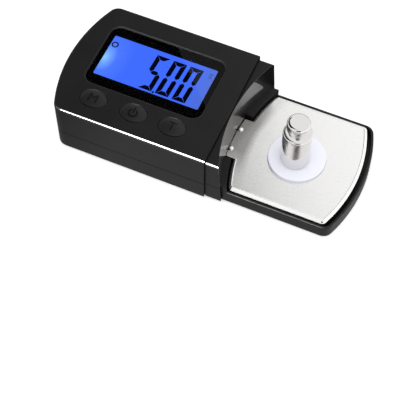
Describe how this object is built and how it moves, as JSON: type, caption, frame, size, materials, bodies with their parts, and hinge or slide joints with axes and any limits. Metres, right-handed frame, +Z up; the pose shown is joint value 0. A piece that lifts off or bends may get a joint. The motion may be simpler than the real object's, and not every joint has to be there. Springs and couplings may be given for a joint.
{
  "type": "stylus force gauge",
  "caption": "Pocket digital stylus force gauge: black housing with a lit display and press buttons, concave neck, steel pan in a low tray, white stylus disc and turned weight.",
  "frame": {"origin": "on the surface that the feet stand on, under the middle of the gauge's length and width", "axes": "+X from the housing to the pan, +Y to the side away from the buttons, +Z up"},
  "size_m": [0.0862, 0.0384, 0.0228],
  "materials": {
    "housing_plastic": "fine-textured black moulded plastic, polished on the concave neck face",
    "lens_plastic": "clear polished acrylic with a black printed border",
    "display_glass": "blue backlit liquid crystal glass",
    "light_guide": "diffusing light guide",
    "contact_rubber": "striped conductive rubber",
    "led_white": "moulded light source",
    "board": "green solder mask",
    "chip_black": "moulded epoxy",
    "beam_alloy": "machined and anodised",
    "cell_steel": "nickel-plated can",
    "contact_brass": "plated spring strip",
    "pan_steel": "pale satin-polished sheet",
    "arm_steel": "plated flat strip",
    "disc_white": "cool white moulded plastic",
    "weight_chrome": "polished and plated",
    "button_plastic": "satin black with raised marks",
    "switch_plastic": "moulded switch housing",
    "plunger_plastic": "moulded plunger",
    "screw_steel": "zinc-plated",
    "pan_screw_steel": "polished round head",
    "foot_rubber": "soft black pad"
  },
  "bodies": {
    "housing": {"backlight_led": "led_white", "battery_left": "cell_steel", "battery_link": "contact_brass", "battery_minus_contact": "contact_brass", "battery_plus_contact": "contact_brass", "battery_right": "cell_steel", "case_screw_1": "screw_steel", "case_screw_2": "screw_steel", "case_screw_3": "screw_steel", "case_screw_4": "screw_steel", "circuit_board": "board", "contact_strip": "contact_rubber", "controller_chip": "chip_black", "display_glass": "display_glass", "display_lens": "lens_plastic", "foot_1": "foot_rubber", "foot_2": "foot_rubber", "foot_3": "foot_rubber", "foot_4": "foot_rubber", "light_guide": "light_guide", "load_cell": "beam_alloy", "load_cell_screw_1": "screw_steel", "load_cell_screw_2": "screw_steel", "lower_shell": "housing_plastic", "mode_switch": "switch_plastic", "power_switch": "switch_plastic", "tare_switch": "switch_plastic", "upper_shell": "housing_plastic"},
    "pan": {"weighing_pan": "pan_steel", "pan_arm": "arm_steel", "stylus_disc": "disc_white", "calibration_weight": "weight_chrome", "pan_screw_1": "pan_screw_steel", "pan_screw_2": "pan_screw_steel", "arm_screw_1": "screw_steel", "arm_screw_2": "screw_steel"},
    "battery_cover": {"battery_door": "housing_plastic"},
    "mode_key": {"mode_button": "button_plastic", "mode_plunger": "plunger_plastic"},
    "power_key": {"power_button": "button_plastic", "power_plunger": "plunger_plastic"},
    "tare_key": {"tare_button": "button_plastic", "tare_plunger": "plunger_plastic"}
  },
  "joints": [
    {"name": "pan_deflection", "type": "slide", "parent": "housing", "child": "pan", "axis": [0, 0, -1], "range_m": [0, 0.0003], "stiffness_N_per_m": 500, "springref_m": -0.0003, "deforming": ["load_cell"]},
    {"name": "battery_door_slide", "type": "slide", "parent": "housing", "child": "battery_cover", "axis": [-1, 0, 0], "range_m": [0, 0.036]},
    {"name": "mode_press", "type": "slide", "parent": "housing", "child": "mode_key", "axis": [0, 0, -1], "range_m": [0, 0.0004], "stiffness_N_per_m": 400, "springref_m": -0.0002},
    {"name": "power_press", "type": "slide", "parent": "housing", "child": "power_key", "axis": [0, 0, -1], "range_m": [0, 0.0004], "stiffness_N_per_m": 400, "springref_m": -0.0002},
    {"name": "tare_press", "type": "slide", "parent": "housing", "child": "tare_key", "axis": [0, 0, -1], "range_m": [0, 0.0004], "stiffness_N_per_m": 400, "springref_m": -0.0002}
  ]
}
